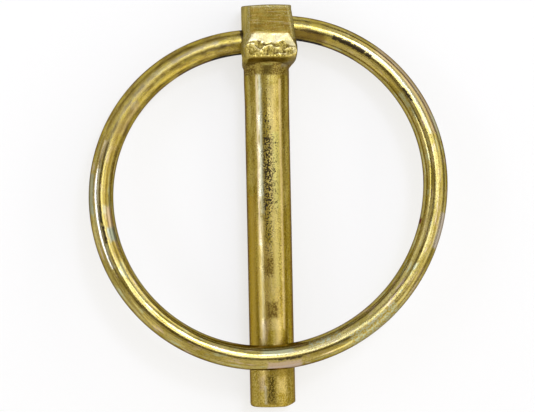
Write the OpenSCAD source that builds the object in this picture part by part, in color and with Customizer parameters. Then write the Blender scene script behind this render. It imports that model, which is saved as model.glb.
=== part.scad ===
// Lynch pin: a forged pin with a nosed head, and a spring wire ring whose two ends turn in
// pockets in the sides of the head. The pin lies on its back with the ring on top.
// The origin is on the shank's axis, where the straight shank meets the neck.
// +Y runs along the shank to the head, +Z is up and +X is to the right.

/* [Shank] */
// Diameter of the straight shank
shank_d = 6.35; // [5.5:0.05:7.5]
// Length of the shank, from the neck to the cropped tip
shank_len = 47.2; // [45:0.1:60]
// How much larger in radius the cropped end is than the straight shank
crop_swell = 0.045; // [0.02:0.005:0.1]
// Rounding of the rim of the tip
tip_round = 0.4; // [0.2:0.05:0.8]
// Width of the slanted shear mark across one side of the tip
shear_w = 1.6; // [0.8:0.1:2.4]
// Height of the shear mark along the side of the tip
shear_h = 0.85; // [0.4:0.05:1.4]

/* [Head] */
// Width of the head across its two flat sides
head_w = 6.6; // [6.2:0.1:8]
// Height of the flat front of the head above the shank's axis
head_front = 4.2; // [4.1:0.05:5]
// Length of the head, from the underside of the nose to the crest of the top
head_len = 7.6; // [7.2:0.1:10]
// Radius of the crowned top of the head, seen from the front
crown_r = 18; // [12:0.5:40]
// Rounding of the two corners of the crowned top, seen from the front
corner_r = 0.5; // [0.3:0.05:0.9]
// Bevel along the long edges of the head
head_bevel = 0.4; // [0.2:0.05:0.6]

/* [Nose] */
// Radius of the hollow neck that blends the shank into the underside of the nose
neck_r = 2.7; // [2.2:0.05:3]
// Width of the nose at its widest
nose_w = 7.3; // [7:0.1:8.4]
// Width of the nose where its facet starts from the front of the head
facet_w = 4.9; // [3.5:0.1:6]
// Length of the facet along the pin
facet_len = 3.3; // [2.8:0.1:3.8]
// Length of the part of the facet that narrows towards the front of the head
facet_hip = 1.8; // [1:0.1:2.4]
// Rounding of the nose's front edge
nose_round = 0.3; // [0.15:0.05:0.5]

/* [Ring] */
// Diameter of the ring's wire
wire_d = 3.5; // [3:0.05:3.7]
// Centre-line radius of the ring's quarter at the upper right
upper_r = 21.9; // [20:0.1:23]
// Centre-line radius of the ring's quarter at the lower right
lower_r = 25.1; // [24:0.1:26]
// Distance between the places inside the head where the ring's curve starts and ends
ends_apart = 3.6; // [3:0.1:4.2]
// Step along the pin between the ring's two ends
ends_step = 2; // [1.4:0.1:2.1]
// Straight length at each end of the wire
end_straight = 0.6; // [0.3:0.05:0.9]

/* [Fits] */
// Running clearance round the ring's ends in their pockets
pocket_gap = 0.06; // [0.02:0.01:0.1]
// Clearance between each wire end and the floor of its pocket
floor_gap = 0.15; // [0.05:0.05:0.3]
// Gap between the closed ring and the shank under it
seat_gap = 0.05; // [0.02:0.01:0.2]
// Height of the ring's hinge line above the shank's axis
hinge_up = 0.5; // [0.3:0.05:0.6]
// Distance of the hinge line from the underside of the nose
hinge_from_nose = 3.2; // [3.1:0.05:3.6]

/* [Hidden] */
$fn = 96;
// How far a cutting shape runs past what it cuts
past = 1;
plating = [0.72, 0.62, 0.25];

shank_r = shank_d / 2;
crop_r = shank_r + crop_swell;
wire_r = wire_d / 2;
step = ends_step / 2;
curve_x = ends_apart / 2;

// The ring's centre line is four quarter circles, each starting where the last ends.
// The two on the left follow from the two on the right, because both ends have to lie
// square to the pin, ends_apart along X and ends_step along Y.
left_lower_r = upper_r + curve_x - step;
left_upper_r = lower_r - curve_x - step;
right_centre_y = step - upper_r;
left_centre_y = left_lower_r - lower_r + right_centre_y;
lower_x = curve_x + upper_r - lower_r;

hinge_y = neck_r + hinge_from_nose;
ring_reach = upper_r + lower_r - step;
seat_up = crop_r + wire_r + seat_gap;
ring_tilt = asin((seat_up - hinge_up) / ring_reach);
crossing_y = hinge_y - ring_reach * cos(ring_tilt);

// Each end's curve sinks a little towards the tip before it leaves the widest part of the head.
end_sink = left_upper_r - sqrt(pow(left_upper_r, 2) - pow(nose_w / 2 - curve_x, 2));
pocket_r = step + end_sink + wire_r + pocket_gap;
pocket_floor = curve_x - end_straight - floor_gap;

nose_up = shank_r + neck_r;
head_top = neck_r + head_len;
corner_y = head_top - crown_r + sqrt(pow(crown_r, 2) - pow(head_w / 2, 2));
facet_top = neck_r + 2 * nose_round + facet_len;

// Turns a profile drawn as [distance from the axis, place along Y] into a solid of revolution.
module turned() {
    rotate([-90, 0, 0])
        rotate_extrude()
            children();
}

// Runs an outline drawn as [X, Z] along the pin, from y0 to y1.
module along_pin(y0, y1) {
    translate([0, y1, 0])
        rotate([90, 0, 0])
            linear_extrude(y1 - y0)
                children();
}

// Runs an outline drawn as [Y, Z] across the pin, over the given width.
module across_pin(width) {
    rotate([90, 0, 90])
        linear_extrude(width, center = true)
            children();
}

// Runs an outline drawn as [X, Y] upwards through the whole head.
module through_head() {
    translate([0, 0, -shank_r - past])
        linear_extrude(shank_r + nose_up + 2 * past)
            children();
}

// The straight shank, with its swollen end under and past the ring.
module shank() {
    swell_start = crossing_y + wire_r;
    swell_end = crossing_y - wire_r;
    difference() {
        turned() {
            polygon([
                [0, neck_r + past],
                [shank_r, neck_r + past],
                [shank_r, swell_start],
                [crop_r, swell_end],
                [crop_r, tip_round - shank_len],
                [crop_r - tip_round, tip_round - shank_len],
                [crop_r - tip_round, -shank_len],
                [0, -shank_len]
            ]);
            translate([crop_r - tip_round, tip_round - shank_len])
                circle(r = tip_round);
        }
        shear_mark();
    }
}

// What the crop sheared off one side of the tip.
module shear_mark() {
    slope = atan(shear_h / shear_w);
    translate([crop_r - shear_w, -shank_len, 0])
        rotate([0, 0, slope])
            translate([-shank_r, -2 * shank_r, -shank_d])
                cube([4 * shank_r, 2 * shank_r, 2 * shank_d]);
}

// Outline of the head across the pin, the same from the neck to the top.
module block_outline() {
    side = head_w / 2;
    polygon([
        [head_bevel - side, -shank_r],
        [side - head_bevel, -shank_r],
        [side, head_bevel - shank_r],
        [side, head_front - head_bevel],
        [side - head_bevel, head_front],
        [head_bevel - side, head_front],
        [-side, head_front - head_bevel],
        [-side, head_bevel - shank_r]
    ]);
}

// Front outline of the head, with a crowned top between two rounded corners.
module crown_outline() {
    corner_x = head_w / 2 - corner_r;
    round_y = corner_y - corner_r;
    intersection() {
        translate([0, head_top - crown_r])
            circle(r = crown_r, $fn = 4 * $fn);
        union() {
            translate([-head_w, 0])
                square([2 * head_w, round_y]);
            translate([-corner_x, 0])
                square([2 * corner_x, head_top]);
            for (side = [-1, 1])
                translate([side * corner_x, round_y])
                    circle(r = corner_r);
        }
    }
}

// The head without its nose.
module block() {
    intersection() {
        along_pin(0, head_top)
            block_outline();
        through_head()
            crown_outline();
        top_edges();
    }
}

// Side outline that bevels the front and back edges of the head's top.
module top_edges() {
    bevel_y = corner_y - corner_r;
    across_pin(2 * head_w)
        polygon([
            [neck_r, -shank_r - past],
            [bevel_y, -shank_r - past],
            [bevel_y, -shank_r],
            [head_top, head_bevel - shank_r + corner_r],
            [head_top, head_front - head_bevel - corner_r],
            [bevel_y, head_front],
            [bevel_y, head_front + past],
            [neck_r, head_front + past]
        ]);
}

// Outline across the pin of the nose and the neck, which spread past the head's sides.
module nose_outline() {
    side = head_w / 2;
    wide = nose_w / 2;
    polygon([
        [-side, -shank_r],
        [side, -shank_r],
        [side, hinge_up],
        [wide, shank_r],
        [wide, nose_up - 2 * nose_round],
        [wide - nose_round, nose_up],
        [nose_round - wide, nose_up],
        [-wide, nose_up - 2 * nose_round],
        [-wide, shank_r],
        [-side, hinge_up]
    ]);
}

// The nose: a wedge whose facet rises from the head's front to the nose's edge.
module nose() {
    wide = nose_w / 2;
    narrow = facet_w / 2;
    intersection() {
        along_pin(neck_r, facet_top)
            nose_outline();
        across_pin(2 * nose_w) {
            polygon([
                [neck_r, 0],
                [neck_r, nose_up - nose_round],
                [neck_r + nose_round, nose_up],
                [neck_r + 2 * nose_round, nose_up],
                [facet_top, head_front],
                [facet_top, 0]
            ]);
        }
        through_head()
            polygon([
                [-wide, neck_r],
                [wide, neck_r],
                [wide, facet_top - facet_hip],
                [narrow, facet_top],
                [-narrow, facet_top],
                [-wide, facet_top - facet_hip]
            ]);
    }
}

// The hollow neck, turned round the shank and trimmed by the sides of the nose.
module neck() {
    intersection() {
        along_pin(0, neck_r)
            nose_outline();
        turned()
            difference() {
                square([nose_up, neck_r]);
                translate([nose_up, 0])
                    circle(r = neck_r);
            }
    }
}

// The two blind pockets that the ring's ends turn in, one in each side of the head.
module pockets() {
    for (side = [-1, 1])
        translate([side * pocket_floor, hinge_y, hinge_up])
            rotate([0, side * 90, 0])
                cylinder(r = pocket_r, h = nose_w);
}

module pin() {
    color(plating)
        difference() {
            union() {
                shank();
                neck();
                block();
                nose();
            }
            pockets();
        }
}

// A quarter circle of wire about the given centre, from the angle start to start + 90.
module wire_quarter(centre, radius, start) {
    translate(centre)
        rotate([0, 0, start])
            rotate_extrude(angle = 90)
                translate([radius, 0])
                    circle(r = wire_r);
}

// The straight end of the wire on one side, 1 for right and -1 for left.
module wire_end(side) {
    translate([side * (curve_x - end_straight), side * step, 0])
        rotate([0, side * 90, 0])
            cylinder(r = wire_r, h = end_straight);
}

module ring() {
    color(plating)
        translate([0, hinge_y, hinge_up])
            rotate([-ring_tilt, 0, 0]) {
                wire_end(1);
                wire_quarter([curve_x, right_centre_y], upper_r, 0);
                wire_quarter([lower_x, right_centre_y], lower_r, -90);
                wire_quarter([lower_x, left_centre_y], left_lower_r, 180);
                wire_quarter([-curve_x, left_centre_y], left_upper_r, 90);
                wire_end(-1);
            }
}

pin();
ring();
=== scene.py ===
"""The looks of the lynch pin: a forged pin and a spring wire ring, both yellow zinc plated.

Sizes are in millimetres in the CAD frame, unless a comment says otherwise: +Y runs along the shank
to the head, +Z points up out of the side that the closed ring lies on, and +X is to the right when
seen from that side with the head at the top.
"""

import math

import bmesh
import bpy
import numpy as np
from mathutils import Matrix, Vector


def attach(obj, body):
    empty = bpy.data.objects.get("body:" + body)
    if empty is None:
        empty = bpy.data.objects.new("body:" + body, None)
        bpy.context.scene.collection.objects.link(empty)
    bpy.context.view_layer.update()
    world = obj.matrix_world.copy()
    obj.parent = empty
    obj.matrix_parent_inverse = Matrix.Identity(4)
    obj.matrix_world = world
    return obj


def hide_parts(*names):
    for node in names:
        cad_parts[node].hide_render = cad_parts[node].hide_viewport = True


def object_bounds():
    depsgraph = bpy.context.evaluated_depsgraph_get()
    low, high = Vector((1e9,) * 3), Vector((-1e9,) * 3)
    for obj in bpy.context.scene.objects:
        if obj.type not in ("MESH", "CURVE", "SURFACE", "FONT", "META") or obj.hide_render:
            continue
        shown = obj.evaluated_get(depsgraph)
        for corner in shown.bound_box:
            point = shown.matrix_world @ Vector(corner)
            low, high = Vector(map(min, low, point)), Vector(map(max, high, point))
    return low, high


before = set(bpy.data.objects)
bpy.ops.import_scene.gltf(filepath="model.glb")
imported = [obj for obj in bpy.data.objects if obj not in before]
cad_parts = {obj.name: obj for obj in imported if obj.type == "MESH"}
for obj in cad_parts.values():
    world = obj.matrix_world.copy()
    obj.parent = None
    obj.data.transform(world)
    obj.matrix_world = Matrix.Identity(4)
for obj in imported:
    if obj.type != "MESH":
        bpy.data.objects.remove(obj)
cad_low, cad_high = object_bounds()

MM = 0.001
PIN_AXIS = Vector((0, 1, 0))

# The camera: how it is turned, in degrees, how far off it stands, and what it sees.
CAMERA_YAW = 7.0
CAMERA_ROLL = 1.15
CAMERA_DISTANCE = 380.0
VIEW_CENTRE = (-0.21, -18.5, 0.0)
VIEW_WIDTH = 76.34
SENSOR = 36.0
CLIP_METRES = (0.01, 50.0)

# The shank, which carries a slight swell under the head and another at its cropped end.
SHANK_R = 3.175
SHANK_LEN = 47.04
CROP_SWELL = 0.045
CROP_FROM = -38.13
CROP_TO = -41.63
HEAD_SWELL = 0.06
HEAD_SWELL_FROM = -3.8
HEAD_SWELL_TO = -0.6
TIP_ROUND = 0.6
SHEAR_W = 1.64
SHEAR_H = 0.60

# The forged head. Its sides are widest at the parting line and draw in to the front and back.
HALF_W = 3.52
PARTING_Z = 0.6
DRAFT = 0.135
HEAD_TOP = 10.2
TOP_DRAFT = 0.07
CROWN_R = 40.0
CROWN_X = 0.62
FRONT_Z = 4.2
FRONT_LEAN = math.tan(math.radians(4.5))
LEAN_Y = 7.6
BACK_Z = -3.175
RIDGE_X = 2.84
RIDGE_Y = 8.9
RIDGE_SLOPE = 0.153
LEFT_RIDGE_X = -2.72
BEVEL_ROUND = 0.12
SIDE_ROUND = 0.25
TOP_ROUND = 0.22
BACK_ROUND = 1.3

# How far each side flares out at the front: at the nose and at the top, and where along it starts.
# The flare fades in between two heights, and may run on past the nose's widest place at FLARE_Y.
RIGHT_FLARE = (0.98, 0.18, 9.3)
LEFT_FLARE = (0.84, 0.0, 6.4)
FLARE_Y = 4.2
FLARE_FROM_Z = 0.8
FLARE_TO_Z = 3.6
FLARE_PAST = 1.15
# Below the nose's widest place the sides draw in again: the lift, slope and bend of that curve.
DRAW_IN = (0.1, 0.05, 0.07)

# The wedge on the head's front, whose facet rises to the nose in two slopes.
FACET_TOP = 6.06
TORN_Y = 4.45
UPPER_SLOPE = math.tan(math.radians(17))
LOWER_SLOPE = math.tan(math.radians(30))
NOSE_Y = 2.5
# Its hips, where the facet falls away to the sides: each one's upper and lower end, in x and y.
RIGHT_HIP = ((2.60, 6.13), (3.67, 4.12))
LEFT_HIP = ((-2.24, 5.99), (-3.37, 4.26))
HIP_FALL = 62

# The underside of the nose, and the hollow neck, which is deep at the front and tight at the sides.
UNDER_SLOPE = 0.326
SIDE_UNDER_Y = 1.3
HOLLOW_R = 3.5
HOLLOW_Y = -0.03
HOLLOW_SIDE_R = 0.5
HOLLOW_SIDE_Y = 0.85

# The skin of the pin: the size of its faces, how far the shank is shortened meanwhile, and the
# block that fills the ring's pockets. Then each point is pulled onto the pin's field.
VOXEL = 0.112
SQUEEZE = 0.6
SQUEEZE_FROM = -2.0
POCKET_BLOCK = ((-3.2, 2.9, -2.6), (3.2, 8.9, 3.5))
PULL_PASSES = 5
LONGEST_PULL = 0.25

# The ring: four quarter circles in its own plane, cut off inside the head, and its hinge line.
# Then the number of points round the wire and along each quarter, of which one is longer.
WIRE_R = 1.75
UPPER_R = 21.9
LOWER_R = 25.1
CURVE_X = 1.8
END_X = 3.0
STEP = 1.0
RING_TILT = 5.64
HINGE_Y = 5.9
HINGE_Z = 0.5
AROUND = 56
ARC_POINTS = 300
LONG_ARC_POINTS = 330

# The studio's softboxes, the key ones a little cool and the others warm. Each has a name, its
# azimuth, elevation, width and height in degrees as seen from the part, and its level.
LAMP_DISTANCE = 2000.0
KEY_TINT = (0.94, 1.0, 1.22)
KEY_LAMPS = [
    ("key", 20, 24, 26, 22, 0.9),
    ("key_core", 21, 24, 10, 9, 13.0),
    ("key_right", 27, 9, 16, 14, 1.9),
    ("key_low", 18, -3, 20, 8, 0.2),
    ("centre", 9, 8, 15, 12, 3.4),
    ("left", -45, -2, 10, 20, 3.2),
    ("left_high", -51, 13, 10, 12, 3.0),
    ("top", 0, 37, 90, 14, 0.75),
    ("top_high", 10, 56, 110, 24, 0.8),
]
FILL_TINT = (1.03, 1.0, 0.88)
FILL_LAMPS = [
    ("right", 40, 5, 14, 30, 1.3),
    ("right_far", 62, 0, 22, 110, 1.25),
    ("left_far", -66, -5, 30, 90, 0.5),
    ("top_left", -28, 20, 16, 20, 0.45),
    ("gap", -15, 2, 20, 16, 0.5),
    ("below", 0, -61, 84, 62, 0.65),
    ("below_mid", 12, -23, 60, 10, 0.6),
    ("below_left", -35, -22, 26, 20, 0.45),
    ("below_right", 76, -42, 24, 30, 0.7),
    ("side_right", 80, 0, 20, 60, 0.3),
]
WORLD = (0.22, 0.18, 0.11)

# The floor, with the share of plain white in what the camera and reflections see of it.
FLOOR_HALF_METRES = 3.0
FLOOR_COLOUR = (0.95, 0.96, 0.985)
FLOOR_ROUGHNESS = 0.3
FLOOR_WHITE = 0.65

# Colours of the plating, as the metal's own reflectance, some also used for painted highlight and
# shade where marked; EDGE_TINT is for grazing angles.
EDGE_TINT = (0.16, 0.10, 0.02, 1.0)
OLIVE = (0.33, 0.26, 0.045)
GOLD = (0.54, 0.45, 0.15)
PALE_AND_HIGHLIGHT = (0.76, 0.70, 0.42)
BROWN_AND_SHADE = (0.15, 0.09, 0.015)
GREY = (0.34, 0.30, 0.20)
PINK = (0.60, 0.46, 0.40)
GREEN = (0.46, 0.52, 0.36)
SLATE = (0.27, 0.33, 0.30)
RED = (0.14, 0.03, 0.02)
BLACK_AND_SHADE = (0.03, 0.02, 0.012)
SOOT_AND_SHADE = (0.10, 0.07, 0.012)
SILVER_HIGHLIGHT = (0.78, 0.78, 0.66)
COPPER = (0.72, 0.58, 0.29)
BLUSH_HIGHLIGHT = (0.82, 0.70, 0.48)
RUSSET_SHADE = (0.40, 0.27, 0.04)
HONEY = (0.72, 0.55, 0.18)
LILAC = (0.62, 0.55, 0.50)
MINT_HIGHLIGHT = (0.80, 0.82, 0.60)
END_GOLD = (0.58, 0.46, 0.07)
LEAF_AND_HIGHLIGHT = (0.50, 0.49, 0.16)
UMBER_AND_SHADE = (0.27, 0.19, 0.03)
AMBER = (0.42, 0.30, 0.012)
SHANK_OLIVE = (0.33, 0.25, 0.035)
SHANK_GOLD = (0.54, 0.445, 0.12)
NECK_GOLD = (0.43, 0.34, 0.08)
FACE_DARK = (0.24, 0.155, 0.02)
FACE_GOLD = (0.40, 0.28, 0.05)
FACE_OLIVE = (0.33, 0.28, 0.055)
GREYED = (0.56, 0.50, 0.33)
# The head's left wall is painted lighter gold than its plating: painted light.
WALL_PAINTED_LIGHT_DIM = (0.42, 0.34, 0.06)
WALL_PAINTED_LIGHT = (0.70, 0.57, 0.13)
RUBBED = (0.85, 0.68, 0.28)
FACET = (0.72, 0.62, 0.26)
FACET_PALE = (0.85, 0.77, 0.51)
TORN_DARK = (0.40, 0.30, 0.035)
TORN_GOLD = (0.84, 0.69, 0.20)
CREST_HIGHLIGHT = (0.95, 0.83, 0.42)

# The noises of each plating: the size of the grain along each axis, the seed and the detail. The
# ring's axes are along the wire, outward and up, as if the wire were straight.
RING_GRAINS = {
    "lines": ((5.0, 0.16, 0.16), 1, 3.0),
    "cloud": ((6.0, 1.2, 1.2), 2, 3.0),
    "speck": ((0.22, 0.14, 0.14), 3, 2.0),
    "fleck": ((0.9, 0.25, 0.25), 4, 2.0),
    "patches": ((2.2, 0.8, 0.8), 5, 4.0),
    "hue": ((3.0, 0.7, 0.7), 6, 2.0),
    "spots": ((0.34, 0.25, 0.25), 7, 1.0),
    "chips": ((0.4, 0.2, 0.2), 8, 1.0),
}
PIN_GRAINS = {
    "drawn": ((0.18, 4.0, 0.18), 11, 3.0),
    "hair": ((3.0, 0.20, 3.0), 12, 2.0),
    "cloud": ((1.6, 5.0, 1.6), 13, 3.0),
    "speck": ((0.17, 0.2, 0.17), 14, 2.0),
    "blot": ((0.9, 2.4, 0.9), 16, 4.0),
    "dots": ((0.19, 0.22, 0.19), 17, 0.0),
    "salt": ((0.15, 0.17, 0.15), 18, 1.0),
    "pepper": ((0.24, 0.26, 0.24), 19, 1.0),
    "tint": ((1.6, 0.4, 1.6), 20, 2.0),
}

# Tints that a noise lays over a colour: the noise, its values at none and at full strength, that
# strength, and the tint.
RING_STREAKS = [
    ("lines", 0.52, 0.75, 0.3, PALE_AND_HIGHLIGHT),
    ("lines", 0.48, 0.30, 0.3, BROWN_AND_SHADE),
    ("speck", 0.50, 0.28, 0.75, BROWN_AND_SHADE),
]
RING_SCUFFS = [
    ("speck", 0.56, 0.70, 0.5, PINK),
    ("speck", 0.55, 0.40, 0.5, BROWN_AND_SHADE),
]
RING_TINTS = [
    ("fleck", 0.62, 0.72, 0.6, GREY),
    ("hue", 0.56, 0.70, 0.5, PINK),
    ("hue", 0.44, 0.30, 0.5, GREEN),
]
SHANK_STREAKS = [
    ("drawn", 0.52, 0.75, 0.25, PALE_AND_HIGHLIGHT),
    ("drawn", 0.48, 0.30, 0.25, BROWN_AND_SHADE),
]
FACE_TINTS = [
    ("tint", 0.42, 0.62, 0.6, FACE_OLIVE),
    ("hair", 0.55, 0.30, 0.85, FACE_DARK),
    ("hair", 0.55, 0.75, 0.35, GREYED),
]
PIN_GLINTS = [("speck", 0.56, 0.72, 0.25, PALE_AND_HIGHLIGHT)]

# Finishes of two colours: the place, the strength, the noise that mixes the colours and its values
# at all dark and at all light, and the two colours.
# The ring's ends are browner by the head: painted shade where the wire goes into it.
END_FINISH = [("ends", 0.6, "patches", 0.42, 0.56, UMBER_AND_SHADE, END_GOLD)]
MATT_FINISH = [("matt", 0.65, "spots", 0.42, 0.58, GREEN, FACE_GOLD)]
HEAD_FINISHES = [
    ("edge", 0.7, "salt", 0.44, 0.68, FACE_OLIVE, GREYED),
    # The left wall: painted light.
    ("wall", 0.8, "blot", 0.38, 0.60, WALL_PAINTED_LIGHT_DIM, WALL_PAINTED_LIGHT),
    ("neck", 0.85, "pepper", 0.40, 0.62, BROWN_AND_SHADE, NECK_GOLD),
]
TIP_FINISH = [("tip", 0.25, "pepper", 0.40, 0.62, UMBER_AND_SHADE, RUBBED)]
FACET_FINISHES = [
    ("facet", 1.0, "cloud", 0.3, 0.7, FACET, FACET_PALE),
    ("torn", 1.0, "drawn", 0.4, 0.6, TORN_DARK, TORN_GOLD),
]

# Finishes of one colour: the place, the strength and the colour.
UNDER_FINISH = [("under", 0.6, SHANK_GOLD)]
# The crests and rims are a painted highlight, and the cuts get painted shade.
FACET_MARKS = [("crest", 0.8, CREST_HIGHLIGHT), ("cut", 0.85, BROWN_AND_SHADE)]
RING_BLACK = [("black", 0.95, BLACK_AND_SHADE)]

# Values of the noise between which a base colour goes from its dark to its light.
CLOUDS = (0.32, 0.68)
FACE_BLOTS = (0.36, 0.60)

# How strongly brown specks show on the pin, and how much less on its brushed and polished parts.
SPECKS = 0.85
SPECKS_CALMED = 0.6

# The clear coat on each plating. Then roughness: its range over each plating as the noise goes
# through GLOSS_PATCHES, and what it gains in each place.
RING_COAT = 0.15
PIN_COAT = 0.12
GLOSS_PATCHES = (0.3, 0.7)
RING_GLOSS = (0.07, 0.17)
RING_ROUGHER = [("dull", 0.05), ("matt", 0.2), ("satin", 0.08), ("ends", 0.16), ("black", 0.25)]
PIN_GLOSS = (0.24, 0.37)
PIN_ROUGHER = [
    ("rough_tip", 0.1), ("neck", 0.22), ("brushed", 0.12), ("wall", 0.2), ("black", 0.25),
]

# Bump: the height of drawn lines and specks and of brushed hair lines, and the black wear's depth.
RING_BUMP = 0.006
PIN_BUMP = 0.010
HAIR_BUMP = 0.02
WEAR_BUMP = 0.003

# Where along the ring its finish changes, and along the shank, each from none to full; the amber
# has the range of strengths given with it.
RING_ENDS = ((10.5, 3.5), (112.5, 119.0))
RING_SATIN = ((33.0, 38.0), (64.0, 58.0))
RING_DULL = (118.0, 124.0)
SHANK_AMBER = (-8.0, -33.0)
AMBER_RANGE = (0.15, 0.75)
PEPPERED_TIP = (-38.0, -42.5)
ROUGH_TIP = (-37.0, -40.0)

# How far the noise moves the edge of a stain, of a wear mark on the ring and of its dull side.
STAIN_RAG = 3.0
CHIP_RAG = 5.0
DULL_RAG = 12.0

# Stains on the ring, and painted highlight and shade where marked: from where to where along it and
# across it, how soft the edge is, the colour and the strength. Along it is counted from its right
# end, and across it from the wire's top, with the outside of the ring above zero.
RING_STAINS_AND_PAINTED_LIGHT = [
    # A pale line on the upper right's highlight, a painted highlight, and a dark line beside the
    # bottom's highlight, painted shade that narrows it.
    ((11.0, 27.0, 0.0, 0.34), 0.15, SILVER_HIGHLIGHT, 0.35),
    ((64.0, 97.0, -0.08, 0.20), 0.15, UMBER_AND_SHADE, 0.35),
    # Where the right end and the left end go into the head: painted shade on the undersides and
    # inner edges and in the gap at the left end, and short black lines along the tops.
    ((-1.0, 5.5, -2.1, -0.30), 0.5, BROWN_AND_SHADE, 0.75),
    ((2.8, 6.8, -0.50, -0.10), 0.2, BLACK_AND_SHADE, 0.6),
    ((-1.0, 5.5, -3.5, -2.0), 0.2, BLACK_AND_SHADE, 1.0),
    ((5.5, 11.0, -3.5, -2.25), 0.2, BROWN_AND_SHADE, 0.9),
    ((-1.0, 1.0, -2.6, -0.3), 0.2, BLACK_AND_SHADE, 0.7),
    ((136.5, 144.0, -3.5, -2.0), 0.2, BLACK_AND_SHADE, 1.0),
    ((131.0, 136.5, -3.5, -2.1), 0.2, BROWN_AND_SHADE, 0.9),
    ((132.5, 139.0, -0.6, -0.1), 0.25, BLACK_AND_SHADE, 0.55),
    ((141.35, 144.0, -3.4, 2.6), 0.1, BLACK_AND_SHADE, 0.85),
    # The upper left: a greyed band, dark marks along the middle with pink beside them, and a darker
    # outer flank that is painted shade.
    ((114.0, 138.0, 0.05, 0.50), 0.3, GREYED, 0.4),
    ((112.0, 139.0, 0.75, 1.30), 0.25, UMBER_AND_SHADE, 0.6),
    ((127.5, 137.5, -0.40, 0.00), 0.15, BROWN_AND_SHADE, 0.5),
    ((117.0, 128.0, -0.30, 0.10), 0.2, UMBER_AND_SHADE, 0.5),
    ((118.0, 123.5, -1.3, -0.4), 0.5, PINK, 0.25),
    # The outer flank at the upper right: a darker band and a dark line beside the highlight, which
    # are painted shade, and a pink band beyond them.
    ((9.0, 27.0, 0.68, 1.15), 0.2, UMBER_AND_SHADE, 0.6),
    ((13.0, 27.0, 0.7, 1.9), 0.5, PINK, 0.45),
    ((9.0, 27.0, 0.74, 1.02), 0.12, BROWN_AND_SHADE, 0.45),
    # Spots of colour. The pale patch on the lower right's highlight and the silvery line at the
    # left with its pink end are painted highlight, and the dark band inside that line is painted
    # shade.
    ((58.5, 68.5, -0.50, 0.04), 0.15, PALE_AND_HIGHLIGHT, 0.22),
    ((24.5, 28.0, 1.2, 2.6), 0.5, GREEN, 0.6),
    ((38.2, 43.2, 0.9, 2.7), 0.25, LILAC, 0.75),
    ((99.5, 122.0, -0.9, 0.1), 0.5, UMBER_AND_SHADE, 0.7),
    ((98.5, 112.5, 0.52, 1.06), 0.15, SILVER_HIGHLIGHT, 0.75),
    ((112.5, 116.5, 0.60, 0.98), 0.2, BLUSH_HIGHLIGHT, 0.35),
    ((106.4, 111.8, 1.3, 2.7), 0.2, SLATE, 0.45),
    ((104.0, 107.2, -1.45, -0.5), 0.3, PINK, 0.55),
    ((106.2, 107.4, -0.6, -0.1), 0.3, GREEN, 0.4),
    ((102.2, 104.2, -1.6, -0.3), 0.35, SLATE, 0.8),
    ((68.0, 72.6, 0.8, 2.7), 0.25, PINK, 0.7),
    ((68.8, 73.4, -1.3, -0.4), 0.35, GREEN, 0.6),
    ((39.6, 40.4, -2.5, -1.9), 0.2, RED, 0.9),
]

# Matt mottled patches and black wear marks on the ring, placed as its stains are.
MATT_EDGE = 0.25
RING_MATT = [
    (52.6, 60.5, 0.0, 2.4),
    (61.5, 66.5, -1.5, -0.5),
]
WEAR_EDGE = 0.1
RING_WEAR = [
    (6.6, 11.8, -0.68, -0.06),
    (12.0, 12.9, -0.62, -0.12),
    (19.4, 21.6, -0.58, -0.18),
    (105.1, 107.4, 0.24, 0.50),
    (102.2, 104.5, 0.12, 0.42),
    (67.8, 71.2, 0.30, 0.54),
]

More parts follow.
